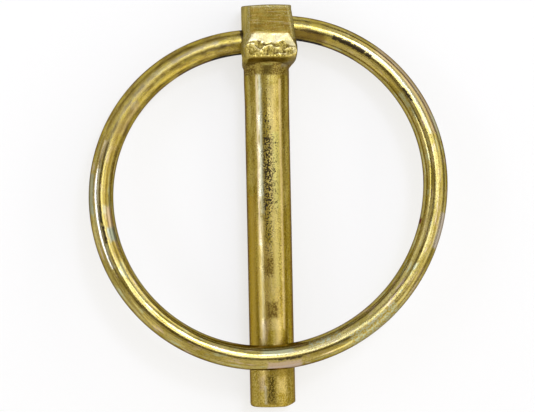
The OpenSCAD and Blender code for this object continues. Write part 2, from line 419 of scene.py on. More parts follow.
# Stains on the pin, and painted highlight and shade where marked, in the same way: across it,
# counted from its front to the right, and along Y.
PIN_STAINS_AND_PAINTED_LIGHT = [
    # Lines down the shank: pale, green and warm lines on the lamps' reflections, partly the
    # plating's streaks and partly painted highlight, a russet left flank that is painted shade, and
    # the rubbed middle with its leaf-green side.
    ((-1.62, -1.14, -17.0, 0.2), 0.2, MINT_HIGHLIGHT, 0.75),
    ((-1.65, -1.18, -19.5, -16.8), 0.3, MINT_HIGHLIGHT, 0.5),
    ((-1.68, -1.24, -22.0, -19.0), 0.3, MINT_HIGHLIGHT, 0.3),
    ((-2.20, -1.05, -43.0, -20.5), 0.3, HONEY, 0.5),
    ((-1.72, -1.34, -38.5, -20.0), 0.2, MINT_HIGHLIGHT, 0.25),
    ((-1.50, -1.22, -46.6, -44.0), 0.2, SILVER_HIGHLIGHT, 0.4),
    ((-2.00, -1.62, -24.0, 0.2), 0.15, BLUSH_HIGHLIGHT, 0.6),
    ((1.36, 1.76, -36.0, -0.5), 0.12, COPPER, 0.55),
    ((-3.9, -2.5, -41.0, -17.0), 0.4, RUSSET_SHADE, 0.75),
    ((-0.1, 0.95, -36.0, -1.5), 0.4, RUBBED, 0.35),
    ((-1.0, -0.1, -36.0, -24.0), 0.4, RUBBED, 0.3),
    ((0.30, 1.30, -19.0, -8.0), 0.25, LEAF_AND_HIGHLIGHT, 0.5),
    ((0.30, 1.30, -30.0, -19.0), 0.25, LEAF_AND_HIGHLIGHT, 0.25),
    # Patches on the lower shank and the tip, and a brown band just below the ring that is painted
    # shade.
    ((-1.10, 0.15, -28.0, -25.8), 0.35, UMBER_AND_SHADE, 0.85),
    ((-0.95, 0.55, -34.3, -32.2), 0.35, UMBER_AND_SHADE, 0.8),
    ((-0.3, 3.0, -42.7, -41.0), 0.25, UMBER_AND_SHADE, 0.6),
    ((0.2, 1.6, -44.9, -42.9), 0.4, RUBBED, 0.4),
    ((0.1, 1.1, -38.2, -34.6), 0.4, RUBBED, 0.5),
    ((-1.9, -1.0, -37.6, -34.9), 0.4, PINK, 0.3),
    ((-2.3, -1.5, -44.6, -42.6), 0.4, PINK, 0.3),
    ((-1.0, 0.1, -46.3, -42.8), 0.35, UMBER_AND_SHADE, 0.7),
    # The neck: a gold patch, a grey corner, a dark patch in the middle that is painted shade under
    # the nose, and above it a thin pale line that is a painted highlight.
    ((-1.95, -1.0, -0.2, 1.5), 0.3, SHANK_GOLD, 0.4),
    ((1.80, 2.70, 1.3, 2.7), 0.3, GREY, 0.6),
    ((-0.92, 0.35, 0.15, 1.4), 0.35, SOOT_AND_SHADE, 0.75),
    ((-0.9, 0.4, 1.50, 1.60), 0.1, LEAF_AND_HIGHLIGHT, 0.8),
]

# Handling marks on the pin: where, how densely their specks lie, and the colour. The noise makes
# no speck below HANDLED_NONE less the density, and a full one above HANDLED_FULL less the density.
HANDLED_EDGE = 0.35
HANDLED_CLOUDS = 0.4
HANDLED_NONE = 0.705
HANDLED_FULL = 0.74
HANDLED_STRENGTH = 0.97
PIN_WEAR = [
    ((-1.05, 0.25, -8.6, -3.2), 0.09, BLACK_AND_SHADE),
    ((-1.12, 0.22, -18.9, -8.6), 0.26, BLACK_AND_SHADE),
    ((-1.03, 0.06, -25.3, -18.0), 0.16, BLACK_AND_SHADE),
    ((0.4, 1.0, -19.5, -8.6), 0.10, BLACK_AND_SHADE),
    ((-1.05, 0.05, -46.2, -42.6), 0.24, SOOT_AND_SHADE),
    ((-0.95, 0.55, -34.3, -32.0), 0.22, BROWN_AND_SHADE),
    ((-1.0, 0.1, -28.6, -25.3), 0.23, BROWN_AND_SHADE),
    ((0.95, 1.30, -33.0, -19.5), 0.13, BROWN_AND_SHADE),
]

# The facet's details in x and y: the line below which it is torn, the curled ridges of the torn
# part, whose crests get a painted highlight, the rims along the facet's edges, which are a painted
# highlight, and the small cuts, which get painted shade.
TORN_LINE = [
    (-3.6, 4.1), (-3.06, 4.65), (-2.4, 4.72), (-1.6, 4.78), (-1.0, 4.4), (-0.5, 4.42),
    (0.05, 4.5), (0.45, 4.5), (0.8, 4.27), (1.2, 4.55), (2.0, 4.75), (2.4, 4.3), (2.8, 4.02),
    (3.8, 3.85),
]
RIDGES = [
    [
        (-3.1, 4.37), (-2.3, 4.45), (-2.1, 4.06), (-1.95, 3.77), (-1.6, 3.57), (-1.2, 3.45),
        (-1.0, 3.76),
    ],
    [
        (-1.0, 3.76), (-0.74, 4.04), (-0.36, 4.12), (0.0, 4.18), (0.31, 4.11), (0.62, 3.83),
        (0.98, 3.7), (1.28, 3.87),
    ],
    [(2.3, 3.6), (2.45, 3.71), (2.8, 3.85), (3.2, 3.78), (3.6, 3.84)],
    [(0.9, 2.95), (1.6, 2.85), (2.2, 2.9)],
]
RIM_HIGHLIGHTS = [
    [(-2.15, 5.75), (-2.6, 5.0)],
    [(2.7, 5.9), (3.5, 4.25)],
    [(3.5, 4.1), (3.5, 3.2)],
]
CUTS = [
    [(-2.6, 4.67), (-2.4, 4.6)],
    [(-1.7, 4.73), (-1.4, 4.7)],
    [(-1.05, 4.45), (-0.8, 4.32)],
    [(0.0, 4.47), (0.5, 4.35)],
    [(-0.2, 3.85), (-0.1, 3.75)],
    [(1.6, 4.62), (1.9, 4.66)],
    [(2.35, 4.3), (2.85, 4.0)],
    [(-2.95, 4.2), (-2.98, 3.1)],
    [(-0.43, 3.6), (-0.45, 2.9)],
    [(0.55, 3.6), (0.52, 3.1)],
    [(0.9, 3.5), (0.88, 3.0)],
    [(1.87, 4.2), (1.79, 3.1)],
    [(2.57, 3.6), (2.5, 2.8)],
]
RIDGE_WIDTH = 0.13
RIM_HIGHLIGHT_WIDTH = 0.3
CUT_WIDTH = 0.1
RAGGED = 0.12

# Relief by noise: on the pin the zone, the height, the size of the grain along each axis and the
# seed, and on the wire the same without the zone. FLAT keeps a noise the same through the pin.
FLAT = 50
PIN_RELIEF = [
    ("everywhere", 0.006, (1.6, 5.0, 1.6), 1),
    ("everywhere", 0.004, (0.5, 2.2, 0.5), 2),
    ("torn", 0.035, (0.26, 1.3, FLAT), 5),
    ("torn", 0.04, (0.5, 0.45, FLAT), 6),
    ("facet", 0.015, (0.7, 0.4, FLAT), 7),
    ("head", 0.004, (0.9, 0.9, 0.9), 9),
    ("neck", 0.025, (0.45, 0.45, 0.45), 10),
]
WIRE_RELIEF = [
    (0.010, (7.0, 1.3, 1.3), 21),
    (0.005, (2.2, 0.7, 0.7), 22),
    (0.0025, (12.0, 0.25, 0.25), 23),
]
WIRE_SINK = 0.006
RIDGE_HEIGHT = 0.12
CUT_DEPTH = 0.10
TORN_DEPTH = 0.03
PIT_DEPTH = 0.05


def smooth_max(a, b, width):
    """The larger of two fields, with the edge between them rounded over about width mm."""
    close = np.maximum(width - np.abs(a - b), 0.0)
    return np.maximum(a, b) + close * close / (4.0 * width)


def smooth_min(a, b, width):
    """The smaller of two fields, with the corner between them filled over about width mm."""
    return -smooth_max(-a, -b, width)


def ramp(low, high, value):
    """0 at low and 1 at high, with a smooth start and end."""
    t = np.clip((value - low) / (high - low), 0.0, 1.0)
    return t * t * (3.0 - 2.0 * t)


def lattice(cell, seed):
    """A number from 0 to 1 for each whole-number cell, the same on every run."""
    x, y, z = cell.T
    h = x * 374761393 + y * 668265263 + z * 1440662683 + seed * 974634777
    h = ((h ^ (h >> 13)) * 1274126177) & 0xFFFFFFFF
    h = ((h ^ (h >> 15)) * 2246822519) & 0xFFFFFFFF
    return ((h ^ (h >> 16)) & 0xFFFF) / 65535.0


def noise(points, cell, seed):
    """Smooth value noise from -1 to 1; cell is the size of its grain along each axis."""
    p = points / np.array(cell, float)
    base = np.floor(p).astype(np.int64)
    f = p - base
    f = f * f * (3.0 - 2.0 * f)
    total = np.zeros(len(points))
    for corner in range(8):
        step = np.array([corner & 1, corner >> 1 & 1, corner >> 2 & 1])
        weight = np.prod(np.where(step == 1, f, 1.0 - f), axis=1)
        total += weight * lattice(base + step, seed)
    return 2.0 * total - 1.0


def plane(points, through, normal):
    """Distance in front of a plane."""
    n = np.array(normal, float)
    n /= np.linalg.norm(n)
    return (points - np.array(through, float)) @ n


def falling_plane(points, a, b, side, fall):
    """Distance in front of the plane that holds the line a-b and falls to that side, in degrees."""
    a, b = np.array(a, float), np.array(b, float)
    along = b - a
    out = np.array([abs(along[1]) * side, abs(along[0]), 0.0])
    out /= np.linalg.norm(out)
    down = out * math.cos(math.radians(fall)) - np.array([0, 0, math.sin(math.radians(fall))])
    n = np.cross(along, down)
    if n[2] < 0:
        n = -n
    return plane(points, a, n)


def shank_radius(y):
    """The shank's radius at each place along it."""
    crop = np.clip((CROP_FROM - y) / (CROP_FROM - CROP_TO), 0.0, 1.0)
    return SHANK_R + CROP_SWELL * crop + HEAD_SWELL * ramp(HEAD_SWELL_FROM, HEAD_SWELL_TO, y)


def half_width(y, z, flare):
    """Half the head's width on one side: flared to the nose at the front, drawn in below it."""
    at_nose, at_top, start = flare
    lift, slope, bend = DRAW_IN
    front = ramp(FLARE_FROM_Z, FLARE_TO_Z, z)
    part = np.clip((start - y) / (start - FLARE_Y), 0.0, FLARE_PAST)
    widening = at_top + (at_nose - at_top) * part
    below = np.maximum(FLARE_Y - y, 0.0)
    drawing_in = at_nose + lift - slope * below - bend * below * below
    drafted = HALF_W - DRAFT * np.abs(z - PARTING_Z)
    return drafted + front * np.maximum(smooth_min(widening, drawing_in, 0.3), 0.0)


def front_z(y):
    """The height of the head's front face, which leans a little."""
    return FRONT_Z + FRONT_LEAN * np.clip(y - LEAN_Y, -3.0, 3.0)


def past_ridge(x, y):
    """How far a point of the front lies past the ridge between the front and its right bevel."""
    return x - RIDGE_X - RIDGE_SLOPE * (RIDGE_Y - y)


TOP_Z = float(front_z(FACET_TOP))
TORN_Z = TOP_Z + UPPER_SLOPE * (FACET_TOP - TORN_Y)
NOSE_Z = TORN_Z + LOWER_SLOPE * (TORN_Y - NOSE_Y)


def lower_facet(y):
    """The height of the facet's lower slope."""
    return TORN_Z + LOWER_SLOPE * (TORN_Y - y)


# What trims the wedge: a point of each plane, the way it faces and how round its edge is. They are
# the strip along the nose, the nose's right corner and its left corner.
WEDGE_TRIMS = [
    ((0, 2.66, NOSE_Z - 0.06), (0, 0.1, 1), 0.15),
    ((2.85, 2.25, NOSE_Z - 0.3), (0.42, -0.45, 0.78), 0.15),
    ((-3.42, 3.75, lower_facet(3.75)), (-0.7, 0, 0.7), 0.1),
]


def hip(p, ends, side):
    """Distance outside a hip, which runs from the facet's top edge down to its lower slope."""
    (top_x, top_y), (low_x, low_y) = ends
    top, low = (top_x, top_y, TOP_Z), (low_x, low_y, lower_facet(low_y))
    return falling_plane(p, top, low, side, HIP_FALL)


def wedge_field(p):
    """The raised wedge on the head's front: two slopes between falling hips, and its trims."""
    y, z = p[:, 1], p[:, 2]
    upper = (z - TOP_Z - UPPER_SLOPE * (FACET_TOP - y)) / math.hypot(1, UPPER_SLOPE)
    lower = (z - lower_facet(y)) / math.hypot(1, LOWER_SLOPE)
    wedge = smooth_min(upper, lower, 0.1)
    wedge = smooth_max(wedge, hip(p, RIGHT_HIP, 1), BEVEL_ROUND)
    wedge = smooth_max(wedge, hip(p, LEFT_HIP, -1), BEVEL_ROUND)
    for through, normal, rounding in WEDGE_TRIMS:
        wedge = smooth_max(wedge, plane(p, through, normal), rounding)
    return wedge


def neck_field(p):
    """The shank, the hollow neck at its end and the underside of the nose."""
    x, y, z = p[:, 0], p[:, 1], p[:, 2]
    rad = np.hypot(x, z)
    forward = ramp(0.6, 0.98, z / np.maximum(rad, 0.1))
    hollow_r = HOLLOW_SIDE_R + (HOLLOW_R - HOLLOW_SIDE_R) * forward
    hollow_y = HOLLOW_SIDE_Y + (HOLLOW_Y - HOLLOW_SIDE_Y) * forward
    rise = np.clip(y - hollow_y, 0.0, 0.97 * hollow_r)
    neck = rad - shank_radius(y) - hollow_r + np.sqrt(hollow_r * hollow_r - rise * rise)
    under = plane(p, (0, NOSE_Y, NOSE_Z), (0, -1, UNDER_SLOPE))
    return smooth_min(neck, smooth_max(under, SIDE_UNDER_Y - y, 0.4), 0.1)


def head_field(p):
    """The head: its front with two bevels and the wedge, its sides, crowned top and back."""
    x, y, z = p[:, 0], p[:, 1], p[:, 2]
    right_bevel = (past_ridge(x, y) + z - front_z(y)) / math.sqrt(2)
    left_bevel = (LEFT_RIDGE_X - x + z - front_z(y)) / math.sqrt(2)
    block = smooth_max(z - front_z(y), right_bevel, BEVEL_ROUND)
    block = smooth_max(block, left_bevel, BEVEL_ROUND)
    front = smooth_min(block, wedge_field(p), 0.06)
    sides = smooth_max(x - half_width(y, z, RIGHT_FLARE), -x - half_width(y, z, LEFT_FLARE), 0.2)
    crown = (x - CROWN_X) ** 2 / (2 * CROWN_R)
    top = y - HEAD_TOP + TOP_DRAFT * np.abs(z - PARTING_Z) + crown
    head = smooth_max(sides, front, SIDE_ROUND)
    head = smooth_max(head, top, TOP_ROUND)
    return smooth_max(head, BACK_Z - z, BACK_ROUND)


def pin_field(p):
    """The pin as a field: below zero inside it, about a distance in mm near its surface."""
    shear = plane(p, (SHANK_R - SHEAR_W, -SHANK_LEN, 0), (SHEAR_H, -SHEAR_W, 0))
    cropped = smooth_max(neck_field(p), -SHANK_LEN - p[:, 1], TIP_ROUND)
    cropped = smooth_max(cropped, shear, 0.05)
    return smooth_max(cropped, head_field(p), SIDE_ROUND)


def slope_of(field, p):
    """The field's gradient at each point, by small steps along each axis."""
    step = 0.01
    parts = []
    for axis in range(3):
        shift = np.zeros(3)
        shift[axis] = step
        parts.append((field(p + shift) - field(p - shift)) / (2 * step))
    return np.stack(parts, axis=1)


def add_object(name, data):
    """A new object in the scene."""
    made = bpy.data.objects.new(name, data)
    bpy.context.scene.collection.objects.link(made)
    return made


def coordinates(mesh):
    """The mesh's points, one row each."""
    co = np.zeros(len(mesh.vertices) * 3)
    mesh.vertices.foreach_get("co", co)
    return co.reshape(-1, 3)


def shade_smooth(mesh):
    """Smooth shading on every face."""
    mesh.polygons.foreach_set("use_smooth", np.ones(len(mesh.polygons), bool))
    mesh.update()


def squeeze(y, factor):
    """Scales the shank's length, which is short while the skin is made, to make long faces."""
    return np.where(y < SQUEEZE_FROM, SQUEEZE_FROM + (y - SQUEEZE_FROM) * factor, y)


def fill_pockets(mesh):
    """Adds a block inside the head, which closes the ring's pockets when the mesh is skinned."""
    low, high = (Vector(corner) for corner in POCKET_BLOCK)
    bm = bmesh.new()
    bm.from_mesh(mesh)
    bmesh.ops.remove_doubles(bm, verts=bm.verts, dist=0.001)
    bmesh.ops.create_cube(bm, matrix=Matrix.LocRotScale((low + high) / 2, None, high - low))
    bm.to_mesh(mesh)
    bm.free()


def skinned(piece):
    """The piece's mesh remade as one skin of small even faces."""
    skin = piece.modifiers.new("remesh", "REMESH")
    skin.mode = "VOXEL"
    skin.voxel_size = VOXEL
    evaluated = piece.evaluated_get(bpy.context.evaluated_depsgraph_get())
    mesh = bpy.data.meshes.new_from_object(evaluated)
    piece.modifiers.clear()
    return mesh


def remeshed_pin():
    """The CAD pin's own surface as a skin of small faces, with its points in millimetres."""
    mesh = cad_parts["pin"].data.copy()
    co = coordinates(mesh) / MM
    co[:, 1] = squeeze(co[:, 1], SQUEEZE)
    mesh.vertices.foreach_set("co", co.ravel())
    mesh.materials.clear()
    fill_pockets(mesh)
    piece = add_object("pin_body", mesh)
    piece.data = skinned(piece)
    co = coordinates(piece.data)
    co[:, 1] = squeeze(co[:, 1], 1 / SQUEEZE)
    return piece, co


def pulled(co):
    """Moves the points onto the surface of the pin's field; returns them with their normals."""
    for _ in range(PULL_PASSES):
        g = slope_of(pin_field, co)
        size = np.maximum((g * g).sum(1), 0.25)
        move = (pin_field(co) / size)[:, None] * g
        length = np.maximum(np.linalg.norm(move, axis=1), 1e-9)
        co = co - move * np.minimum(1.0, LONGEST_PULL / length)[:, None]
    g = slope_of(pin_field, co)
    return co, g / np.maximum(np.linalg.norm(g, axis=1), 1e-6)[:, None]


def torn_line(x):
    """Height of the line across the facet below which it is torn."""
    line_x, line_y = zip(*TORN_LINE)
    return np.interp(x, line_x, line_y)


def near(co, lines, width):
    """1 on the given lines across the head's front, falling to 0 over about width millimetres."""
    p = co[:, :2]
    nearest = np.full(len(p), 100.0)
    for line in lines:
        for a, b in zip(line, line[1:]):
            a, b = np.array(a), np.array(b)
            t = np.clip((p - a) @ (b - a) / ((b - a) @ (b - a)), 0.0, 1.0)
            nearest = np.minimum(nearest, np.linalg.norm(p - a - t[:, None] * (b - a), axis=1))
    return np.exp(-((nearest / width) ** 2))


def ragged(co):
    """The points moved about a little, so that lines drawn near them come out uneven."""
    shift = np.stack([noise(co, (0.3, 0.3, FLAT), seed) for seed in (35, 36, 37)], axis=1)
    return co + RAGGED * shift


def facet_zones(co, normal):
    """The parts of the wedge's face: polished, torn, the painted highlight on its crests and rims,
    and its cuts, which get painted shade.
    """
    x, y, z = co.T
    facing = ramp(0.5, 0.9, normal[:, 2])
    above_nose = ramp(2.45, 2.6, y)
    below_front = 1 - ramp(6.2, 6.4, y)
    wedge = ramp(0.04, 0.12, z - front_z(y)) * above_nose * below_front * facing
    whole = ramp(-0.1, 0.2, y - torn_line(x) - 0.1 * noise(co, (0.3, 0.3, FLAT), 33))
    rag = ragged(co)
    # Painted highlight along the ridges' crests and the rims; painted shade in the cuts.
    crests = np.maximum(near(rag, RIDGES, RIDGE_WIDTH), 0.8 * near(rag, RIM_HIGHLIGHTS, RIM_HIGHLIGHT_WIDTH))
    cuts = near(rag, CUTS, CUT_WIDTH)
    return wedge, {
        "facet": wedge * whole,
        "torn": wedge * (1 - whole),
        "crest": wedge * crests,
        "cut": wedge * cuts,
    }


def head_edges(x, y, z):
    """The rubbed edges of the head: along its top, along its right ridge and down its left side."""
    edge = np.maximum(ramp(9.2, 9.7, y), ramp(-0.35, 0.0, past_ridge(x, y))) * ramp(2.4, 3.4, z)
    return np.maximum(edge, ramp(2.6, 2.8, -x) * ramp(-0.2, 0.6, z)) * ramp(2.6, 3.0, y)


def pin_zones(co, normal):
    """Where each finish lies on the pin, as 0 to 1 for each point."""
    x, y, z = co.T
    wedge, zones = facet_zones(co, normal)
    nose_front = ramp(3.2, 3.7, z) * ramp(1.5, 1.8, y) * ramp(2.9, 2.6, x)
    return {
        **zones,
        "brushed": ramp(-0.3, 0.3, z) * ramp(2.0, 2.6, y) * (1 - wedge),
        "neck": ramp(-0.1, 0.2, y) * (1 - ramp(1.7, 2.0, y)) * ramp(-0.5, 1.0, z),
        "under": ramp(0.35, 0.7, -normal[:, 1]) * nose_front,
        "edge": head_edges(x, y, z) * (1 - wedge),
        "wall": ramp(0.85, 0.95, -normal[:, 0]) * ramp(1.0, 1.6, y) * ramp(-0.5, 0.2, z),
    }


def dressed(co, normal, zones):
    """Forging marks as real relief: noise by zone, curled ridges, cuts, pits on the top edge."""
    y, z = co[:, 1], co[:, 2]
    places = {**zones, "everywhere": 1.0, "head": ramp(2.0, 4.0, y)}
    height = np.zeros(len(co))
    for zone, amount, cell, seed in PIN_RELIEF:
        height += places[zone] * amount * noise(co, cell, seed)
    height += zones["torn"] * RIDGE_HEIGHT * near(ragged(co), RIDGES, RIDGE_WIDTH)
    height -= zones["torn"] * TORN_DEPTH
    height -= zones["cut"] * CUT_DEPTH
    pits = np.maximum(noise(co, (0.25, 0.22, 0.22), 8) - 0.1, 0)
    height -= PIT_DEPTH * ramp(9.0, 9.5, y) * ramp(3.2, 3.9, z) * pits
    return co + normal * height[:, None]


def make_pin():
    """The pin: the CAD pin's skin, pulled onto the field, with its relief and finish zones."""
    piece, co = remeshed_pin()
    co, normal = pulled(co)
    zones = pin_zones(co, normal)
    mesh = piece.data
    mesh.vertices.foreach_set("co", (dressed(co, normal, zones) * MM).ravel())
    for name, values in zones.items():
        layer = mesh.attributes.new(name, "FLOAT", "POINT")
        layer.data.foreach_set("value", values.astype(np.float32))
    shade_smooth(mesh)
    return piece


def arc(centre, radius, start, end, count):
    """Points, and outward directions, on a circular arc in the ring's plane; angles in degrees."""
    a = np.radians(np.linspace(start, end, count))
    out = np.stack([np.cos(a), np.sin(a)], axis=1)
    return np.array(centre) + radius * out, out


def ring_line():
    """The ring's centreline from right end to left: points, outward directions, length so far."""
    left_lower_r = UPPER_R + CURVE_X - STEP
    left_upper_r = LOWER_R - CURVE_X - STEP
    right_y = STEP - UPPER_R
    left_y = left_lower_r - LOWER_R + right_y
    lower_x = CURVE_X + UPPER_R - LOWER_R
    right_start = math.degrees(math.asin((END_X - CURVE_X) / UPPER_R))
    left_start = math.degrees(math.asin((END_X - CURVE_X) / left_upper_r))
    quarters = [
        arc((CURVE_X, right_y), UPPER_R, 90 - right_start, 0, ARC_POINTS),
        arc((lower_x, right_y), LOWER_R, 0, -90, LONG_ARC_POINTS),
        arc((lower_x, left_y), left_lower_r, 270, 180, ARC_POINTS),
        arc((-CURVE_X, left_y), left_upper_r, 180, 90 + left_start, ARC_POINTS),
    ]
    line, out = quarters[0]
    for more, more_out in quarters[1:]:
        line = np.concatenate([line, more[1:]])
        out = np.concatenate([out, more_out[1:]])
    step = np.linalg.norm(np.diff(line, axis=0), axis=1)
    return line, out, np.concatenate([[0.0], np.cumsum(step)])


def straight_wire(length):
    """The wire's surface as if it were straight, circle by circle: along it, outward and up."""
    phi = np.arange(AROUND) * 2 * math.pi / AROUND
    outward = np.tile(WIRE_R * np.cos(phi), len(length))
    up = np.tile(WIRE_R * np.sin(phi), len(length))
    return np.stack([np.repeat(length, AROUND), outward, up], axis=1)


def bent(straight, line, out):
    """The wire's surface with dents and drawn lines, bent round the ring in its own plane."""
    dent = sum(height * noise(straight, cell, seed) for height, cell, seed in WIRE_RELIEF)
    r = WIRE_R + dent - WIRE_SINK
    side = np.repeat(out, AROUND, axis=0)
    in_plane = np.repeat(line, AROUND, axis=0) + side * (r * straight[:, 1] / WIRE_R)[:, None]
    return np.column_stack([in_plane, r * straight[:, 2] / WIRE_R])


def tube_faces(circles):
    """The tube's faces: squares between its circles, and a fan to one point at each end."""
    faces = []
    for a in range(0, (circles - 1) * AROUND, AROUND):
        b = a + AROUND
        for k in range(AROUND):
            after = (k + 1) % AROUND
            faces.append((a + k, a + after, b + after, b + k))
    first = circles * AROUND
    tail = first - AROUND
    faces += [(first, (k + 1) % AROUND, k) for k in range(AROUND)]
    faces += [(first + 1, tail + k, tail + (k + 1) % AROUND) for k in range(AROUND)]
    return faces


def laid(flat):
    """Moves points from the ring's own plane to where the closed ring lies over the shank."""
    x, y, z = flat.T
    cos, sin = math.cos(math.radians(RING_TILT)), math.sin(math.radians(RING_TILT))
    return np.column_stack([x, HINGE_Y + y * cos + z * sin, HINGE_Z - y * sin + z * cos])


def make_ring():
    """The ring: a tube along its centreline, with closed ends that stop inside the head."""
    line, out, length = ring_line()
    straight = straight_wire(length)
    flat = np.concatenate([bent(straight, line, out), [(*line[0], 0.0), (*line[-1], 0.0)]])
    straight = np.concatenate([straight, [(0.0, 0.0, 0.0), (length[-1], 0.0, 0.0)]])
    mesh = bpy.data.meshes.new("ring_wire")
    mesh.from_pydata((laid(flat) * MM).tolist(), [], tube_faces(len(line)))
    layer = mesh.attributes.new("wire", "FLOAT_VECTOR", "POINT")
    layer.data.foreach_set("vector", straight.astype(np.float32).ravel())
    shade_smooth(mesh)
    return add_object("ring_wire", mesh)


def feed(tree, made, inputs):
    """Sets a node's inputs, by name or number, to plain values or joins them to other sockets."""
    for key, value in inputs.items():
        if isinstance(value, bpy.types.NodeSocket):
            tree.links.new(value, made.inputs[key])
        else:
            made.inputs[key].default_value = value


def node(tree, kind, inputs, **settings):
    """A new shader node with its settings and inputs."""
    made = tree.nodes.new("ShaderNode" + kind)
    for name, value in settings.items():
        setattr(made, name, value)
    feed(tree, made, inputs)
    return made


def calc(tree, operation, *values):
    """The result of one maths node."""
    return node(tree, "Math", dict(enumerate(values)), operation=operation).outputs[0]


def between(tree, value, low, high, start=0.0, end=1.0):
    """Runs smoothly from start to end as value goes from low to high."""
    inputs = {"Value": value, "From Min": low, "From Max": high, "To Min": start, "To Max": end}
    return node(tree, "MapRange", inputs, interpolation_type="SMOOTHSTEP").outputs["Result"]


def grain(tree, place, cell, seed, detail):
    """Noise from 0 to 1; cell is the size of its grain along each axis of place, in millimetres."""
    scale = [1.0 / size for size in cell]
    elsewhere = (seed * 7.31, seed * 3.17, seed * 5.77)
    scaled = node(tree, "VectorMath", {0: place, 1: scale, 2: elsewhere}, operation="MULTIPLY_ADD")
    inputs = {"Vector": scaled.outputs[0], "Scale": 1.0, "Detail": detail, "Roughness": 0.6}
    return node(tree, "TexNoise", inputs).outputs["Fac"]


def grains(tree, place, rows):
    """The listed noises, by name."""
    return {name: grain(tree, place, *row) for name, row in rows.items()}


def centred(tree, value, amount):
    """Noise moved from around a half to around zero, and scaled."""
    return calc(tree, "MULTIPLY_ADD", value, amount, -0.5 * amount)


def blend(tree, factor, a, b):
    """The colour that lies factor of the way from a to b."""
    a, b = (c if isinstance(c, bpy.types.NodeSocket) else (*c, 1.0) for c in (a, b))
    return node(tree, "Mix", {0: factor, 6: a, 7: b}, data_type="RGBA").outputs[2]


def mark(tree, u, v, area, edge, rough):
    """1 inside the area, low u to high u and low v to high v, with an edge that noise roughens."""
    parts = []
    for value, low, high in ((u, area[0], area[1]), (v, area[2], area[3])):
        off = calc(tree, "ABSOLUTE", calc(tree, "SUBTRACT", value, (low + high) / 2))
        parts.append(calc(tree, "MULTIPLY_ADD", off, 1.0 / edge, -(high - low) / 2 / edge))
    d = calc(tree, "MAXIMUM", parts[0], parts[1])
    return between(tree, calc(tree, "ADD", d, rough), 1.0, -1.0)


def largest(tree, masks):
    """The largest of several masks."""
    most = masks[0]
    for other in masks[1:]:
        most = calc(tree, "MAXIMUM", most, other)
    return most


def summed(tree, total, parts):
    """The total with each part's value times its amount added."""
    for value, amount in parts:
        total = calc(tree, "MULTIPLY_ADD", value, amount, total)
    return total


def tinted(tree, colour, noises, rows, within=None):
    """Lays the listed tints over colour, all over or only within a mask."""
    for name, none, full, strength, tone in rows:
        cover = between(tree, noises[name], none, full, 0.0, strength)
        if within is not None:
            cover = calc(tree, "MULTIPLY", within, cover)
        colour = blend(tree, cover, colour, tone)
    return colour


def finished(tree, colour, masks, noises, rows):
    """Lays the listed finishes of two colours over colour, each in its own place."""
    for place, strength, name, low, high, dark, light in rows:
        mixed = blend(tree, between(tree, noises[name], low, high), dark, light)
        colour = blend(tree, calc(tree, "MULTIPLY", masks[place], strength), colour, mixed)
    return colour


def coated(tree, colour, masks, rows):
    """Lays the listed finishes of one colour over colour, each in its own place."""
    for place, strength, tone in rows:
        colour = blend(tree, calc(tree, "MULTIPLY", masks[place], strength), colour, tone)
    return colour


def stains_and_painted_light(tree, colour, u, v, rough, rows):
    """Lays the listed stains, painted highlights and painted shade over colour."""
    for area, edge, tone, strength in rows:
        cover = calc(tree, "MULTIPLY", mark(tree, u, v, area, edge, rough), strength)
        colour = blend(tree, cover, colour, tone)
    return colour


def metal(name, coat):
    """A metal material with its node tree and its shader."""
    mat = bpy.data.materials.new(name)
    mat.use_nodes = True
    tree = mat.node_tree
    shader = tree.nodes["Principled BSDF"]
    feed(tree, shader, {"Metallic": 1.0, "Specular Tint": EDGE_TINT})
    feed(tree, shader, {"Coat Weight": coat, "Coat IOR": 1.5, "Coat Roughness": 0.1})
    return mat, tree, shader


def bumped(tree, height):
    """The surface's normal with a relief whose height is in millimetres."""
    inputs = {"Strength": 1.0, "Distance": MM, "Height": height}
    return node(tree, "Bump", inputs).outputs["Normal"]


def attribute(tree, name):
    """The outputs of the node that reads a named attribute of the mesh."""
    return node(tree, "Attribute", {}, attribute_name=name).outputs


def axes(tree, vector):
    """The vector's three numbers."""
    return node(tree, "SeparateXYZ", {0: vector}).outputs


def round_bar(tree, side, front, radius):
    """How far round a bar a point lies, in millimetres along its surface from its front or top."""
    return calc(tree, "MULTIPLY", calc(tree, "ARCTAN2", side, front), radius)


def ring_masks(tree, noises, along, across, rough):
    """Where the ring's finishes lie, as 0 to 1."""
    right_end, left_end = (between(tree, along, *part) for part in RING_ENDS)
    satin_from, satin_to = (between(tree, along, *part) for part in RING_SATIN)
    wandering = calc(tree, "MULTIPLY_ADD", noises["patches"], DULL_RAG, along)
    chipped = centred(tree, noises["chips"], CHIP_RAG)
    matt = [mark(tree, along, across, area, MATT_EDGE, rough) for area in RING_MATT]
    black = [mark(tree, along, across, area, WEAR_EDGE, chipped) for area in RING_WEAR]
    return {
        "ends": calc(tree, "MAXIMUM", right_end, left_end),
        "satin": calc(tree, "MULTIPLY", satin_from, satin_to),
        "dull": between(tree, wandering, *RING_DULL),
        "matt": largest(tree, matt),
        "black": largest(tree, black),
    }


